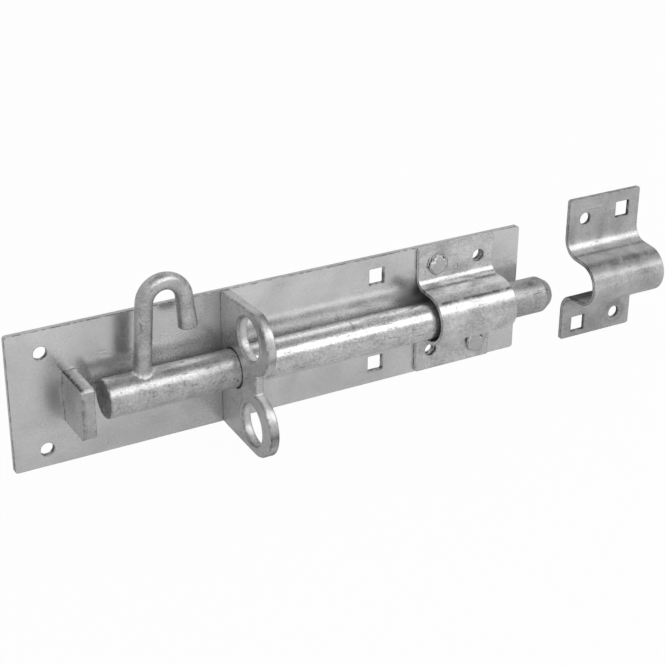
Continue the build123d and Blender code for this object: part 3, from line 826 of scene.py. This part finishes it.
def rivet_surface(spot, first, second, seed, around=120, head_rings=48):
    """Rings from the head's middle out to its rim, under it, down the pin and over the tail. The flat beaten
    in the head falls to the rim like half a cosine wave. Two blows cut steps in that slope: a sine wave whose
    depth is a bell curve round the blow's bearing. The wear is dark in the steps, and, as painted shade, on
    the rim below a blow; at the slope's start it brightens the colour, a painted highlight."""
    angle = round_angles(around)
    share = np.linspace(0, 1, head_rings)[:, None]
    rim = head_radius * (1 + 0.03 * np.sin(2 * angle + seed) + 0.02 * np.sin(5 * angle + 2 * seed))
    blow = 0 * angle
    for bearing, spread, strength in (first, second):
        away = (np.degrees(angle) - bearing + 180) % 360 - 180
        blow += strength * bell(away, spread)
    blow *= 1 + 0.4 * np.sin(7 * angle + seed) * np.sin(3 * angle)
    flat = 0.78 - 0.18 * blow
    fall = np.clip((share - flat) / (1 - flat), 0, 1)
    waves = 2.2 * fall + 0.15 * np.sin(4 * angle + seed)
    step = (0.5 - 0.5 * np.cos(2 * np.pi * waves)) * np.sin(np.pi * fall) * blow
    height = beaten_height * (0.5 + 0.5 * np.cos(np.pi * fall)) - 0.75 * step
    u, v = share * np.cos(angle), share * np.sin(angle)
    height += 0.04 * ripple([u, v], length=0.5, seed=40 + int(seed)) * (1 - fall)
    below = [(0.985 * rim, rivet_seat - 0.02), (0.9 * rim, rivet_seat), (0.6 * rim, rivet_seat),
             (rivet_pin, rivet_seat), (rivet_pin, -rivet_sink), (rivet_tail, -0.03), (2.0, -0.02),
             (0.0, -0.02)]
    radius = np.vstack([share * rim, *[np.broadcast_to(r, around) for r, y in below]])
    y = np.vstack([rivet_seat - np.maximum(height, 0.0), *[np.full(around, y) for r, y in below]])
    # Painted highlight at the slope's start, and painted shade on the rim below a blow.
    painted_shine = 1.5 * blow * bell(fall - 0.16, 0.12) * (fall > 0)
    worn = np.zeros(y.shape)
    worn[:head_rings] = 3.8 * step * fall**0.7 + 1.4 * blow * fall**6 - painted_shine
    return swept(spot[0] + radius * np.cos(angle), y, spot[1] + radius * np.sin(angle), worn)


rivet_zinc = zinc_material(
    "zinc on rivet", 0.60, 0.00006, (400, 400, 400), roughness=0.26, clouds=0.3,
    cloud_size=250.0, grain=0.25, grain_size=1200.0, specks=0.3, scuffs=0.2, edge_dark=0.6)
for rivet, spot in rivet_places.items():
    steel_piece(rivet + "_beaten", *rivet_surface(spot, *blows[rivet]),
                "fixed_parts", "zinc_bar", rivet_zinc, [rivet])


# Keeper: a wider strap of 2.2 mm sheet, folded to the same form with softer bends. It is fixed to the
# post by itself, with a screw hole and a square hole in each flange, and takes the thrown bolt.
keeper_left, keeper_width, keeper_sheet = 173.4, 47.0, 2.2
keeper_top, keeper_bottom, keeper_corner = 42.4, 39.2, 1.4
keeper_clearance, keeper_bend, keeper_slope = 0.7, 8.0, 5.0
keeper_middle = keeper_left + keeper_width / 2
# Its holes, in X from its middle and in Z.
keeper_screws = [(-12.7, 30.3), (12.7, -30.3)]
keeper_squares = [(12.2, 31.6), (-12.2, -31.6)]
# On the crown's upper part the plating is dulled, a painted shade, and in the upper bend and on the crown's
# middle it is brightened and smoothed, a painted highlight, as (Y, Z, reach, dullness). Inside the lower
# bend, above a height, it is darkened by painted shade.
crown_highlight_and_shade_spots = [(-23.8, 9.6, 3.2, 0.7), (-4.0, 15.0, 3.8, -0.5), (-27.2, 4.2, 3.4, -0.6)]
inside_shade_spot, inside_shade_above = (-8.0, -10.0, 7.0, 2.0), -12.2


def keeper_dullness_and_shade(points):
    """The painted highlight and shade spots, and besides them, as painted shade, 0.5 in the bore and up to
    0.7 on the front round the lower screw hole, by a bell curve of the distance from a circle 2.2 mm outside
    the hole."""
    x, y, z = points.T
    lower_x, lower_z = keeper_screws[1]
    from_hole = np.hypot(x - keeper_middle - lower_x, z - lower_z) - screw_hole
    # Painted shade: round the lower screw hole, in the bore and inside the lower bend.
    ring = bell(from_hole - 2.2, 1.5) * (y < -keeper_sheet / 2) * (y > -3)
    bore = np.hypot(y - bolt_axis_y, z) < bolt_radius + keeper_clearance + keeper_sheet / 2
    inside_shade = spotted(points, [inside_shade_spot]) * (z > inside_shade_above)
    return 0.7 * ring + 0.5 * bore + inside_shade + spotted(points, crown_highlight_and_shade_spots)


def keeper_marks(points):
    """The press tool rubbed the keeper too, wider and fainter over the crown: the stronger spot counts."""
    return np.maximum(spotted(points, [(-9.8, 13.6, 1.2, 0.8)]), spotted(points, [(-20.6, 11.4, 2.4, 0.7)]))


keeper_zinc = zinc_material(
    "zinc on keeper", 0.53, 0.00005, (70, 600, 600), roughness=0.41, clouds=1.0,
    cloud_size=90.0, grain=0.7, grain_size=900.0, specks=0.3, scuffs=0.1, edge_dark=0.9)
keeper_place, keeper_along, keeper_length = folded(
    keeper_left, keeper_sheet, bolt_radius + keeper_clearance, keeper_bend, keeper_slope, 0.0,
    keeper_top, keeper_bottom, rise=0.0)
keeper_lines = [rounded(rectangle(0, keeper_width, 0, keeper_length), keeper_corner, 0.9)]
keeper_lines += [round_hole((keeper_width / 2 + x, keeper_along(z)), screw_hole) for x, z in keeper_screws]
keeper_lines += [square_hole(keeper_width / 2 + x, keeper_along(z)) for x, z in keeper_squares]
keeper_edge = cut_edge(keeper_sheet, front=0.3, back=0.15, wear=(0.6, 0.0, 0.3, 1.0))
keeper_hole = cut_edge(keeper_sheet, front=0.3, back=0.15, wear=(0.6, 1.0, 1.0, 1.0))
keeper_sections = [keeper_edge] + [keeper_hole] * (len(keeper_lines) - 1)
steel_piece("keeper_strap", *punched_blank(keeper_lines, keeper_sections, (2.6, 0.8), keeper_place),
            "fixed_parts", "zinc_sheet", keeper_zinc, ["keeper"], keeper_dullness_and_shade, keeper_marks)


# Studio, in metres: a pale floor just under the keeper, a large soft box in front and above, a plain
# pale world that is darker overhead, and a camera where the photograph was taken.
floor_height, floor_reach = -0.0412, 30.0
floor_corners = [(x, y, 0) for x, y in rectangle(-floor_reach, floor_reach, -floor_reach, floor_reach)]
floor = bpy.data.objects.new("studio_floor", bpy.data.meshes.new("studio_floor"))
floor.data.from_pydata(floor_corners, [], [(0, 1, 2, 3)])
floor.location.z = floor_height
bpy.context.scene.collection.objects.link(floor)
# To the camera the floor is 97 percent a white glow, to mirrored rays 20 percent, and else matt grey.
floor_paint = bpy.data.materials.new("pale floor")
floor_paint.use_nodes = True
tree = floor_paint.node_tree
tree.nodes.clear()
path = tree.nodes.new("ShaderNodeLightPath").outputs
matt = shader_node(tree, "ShaderNodeBsdfDiffuse", (("Color", (0.74, 0.74, 0.74, 1)),))
white = shader_node(tree, "ShaderNodeEmission", (("Color", (1, 1, 1, 1)), ("Strength", 1.0)))
mirrored = shader_node(tree, "ShaderNodeMath", (
    (0, path["Is Glossy Ray"]), (1, path["Is Transmission Ray"])), operation="MAXIMUM")
dimmed = shader_node(tree, "ShaderNodeMath", ((0, mirrored.outputs[0]), (1, 0.2)), operation="MULTIPLY")
share = shader_node(tree, "ShaderNodeMath", (
    (0, path["Is Camera Ray"]), (1, 0.97), (2, dimmed.outputs[0])), operation="MULTIPLY_ADD")
both = shader_node(tree, "ShaderNodeMixShader", (
    (0, share.outputs[0]), (1, matt.outputs[0]), (2, white.outputs[0])))
link(tree, both.outputs[0], tree.nodes.new("ShaderNodeOutputMaterial").inputs["Surface"])
floor.data.materials.append(floor_paint)

world = bpy.data.worlds.new("pale studio")
bpy.context.scene.world = world
world.use_nodes = True
tree = world.node_tree
view = tree.nodes.new("ShaderNodeTexCoord").outputs["Generated"]
direction = shader_node(tree, "ShaderNodeSeparateXYZ", ((0, view),))
ramp = shader_node(tree, "ShaderNodeValToRGB", ((0, direction.outputs["Z"]),))
# The world's grey by height, from level at 0 to straight overhead at 1.
greys = [(0.0, 0.58), (0.25, 0.6), (0.45, 0.62), (0.65, 0.75), (0.8, 0.74), (0.87, 0.45), (0.95, 0.22),
         (1.0, 0.16)]
steps = ramp.color_ramp.elements
for position, level in greys[1:-1]:
    steps.new(position)
for step, (position, level) in zip(steps, greys):
    step.color = (level, level, level, 1)
to_camera = tree.nodes.new("ShaderNodeLightPath").outputs["Is Camera Ray"]
seen = shader_node(tree, "ShaderNodeMix", (
    (0, to_camera), (6, ramp.outputs[0]), (7, (1, 1, 1, 1))), data_type="RGBA")
link(tree, seen.outputs[2], tree.nodes["Background"].inputs["Color"])


def soft_box(name, centre, target, width, height, level):
    """An area lamp that faces the target. Its power is the level of its face times its area and pi."""
    lamp = bpy.data.lights.new(name, "AREA")
    lamp.shape, lamp.size, lamp.size_y = "RECTANGLE", width, height
    lamp.energy = level * width * height * np.pi
    holder = bpy.data.objects.new(name, lamp)
    holder.location = centre
    holder.rotation_euler = (Vector(target) - Vector(centre)).to_track_quat("-Z", "Y").to_euler()
    bpy.context.scene.collection.objects.link(holder)


def from_object(azimuth, elevation, distance):
    """A point seen from the padbolt by azimuth, 0 in front and 90 on its right, elevation and distance."""
    a, e = np.radians(azimuth), np.radians(elevation)
    return distance * np.sin(a) * np.cos(e), -distance * np.cos(a) * np.cos(e), distance * np.sin(e)


soft_box("key_soft_box", from_object(22, 43.0, 1.3), (0.03, -0.02, 0.0), width=1.7, height=0.8, level=1.33)

# The camera was solved from the photograph: its bearing, height and roll, and its distance from a point
# on the plate's front. The lens belongs to a 36 mm wide square frame.
bearing, elevation, roll, distance = -29.737, 25.763, np.radians(0.475), 0.804195
aim = np.array([0.028345, -0.003, -0.000976])
backwards = np.array(from_object(bearing, elevation, 1.0))
level_right = np.cross(-backwards, [0, 0, 1])
level_right /= np.linalg.norm(level_right)
level_up = np.cross(level_right, -backwards)
right = np.cos(roll) * level_right + np.sin(roll) * level_up
up = -np.sin(roll) * level_right + np.cos(roll) * level_up
camera = bpy.data.objects.new("camera", bpy.data.cameras.new("camera"))
camera.data.lens, camera.data.sensor_width = 86.99, 36.0
camera.data.clip_start, camera.data.clip_end = 0.05, 100.0
placing = Matrix(np.column_stack([right, up, backwards]).tolist()).to_4x4()
placing.translation = Vector(aim + backwards * distance)
camera.matrix_world = placing
bpy.context.scene.collection.objects.link(camera)
bpy.context.scene.camera = camera
bpy.context.scene.view_settings.view_transform = "Standard"
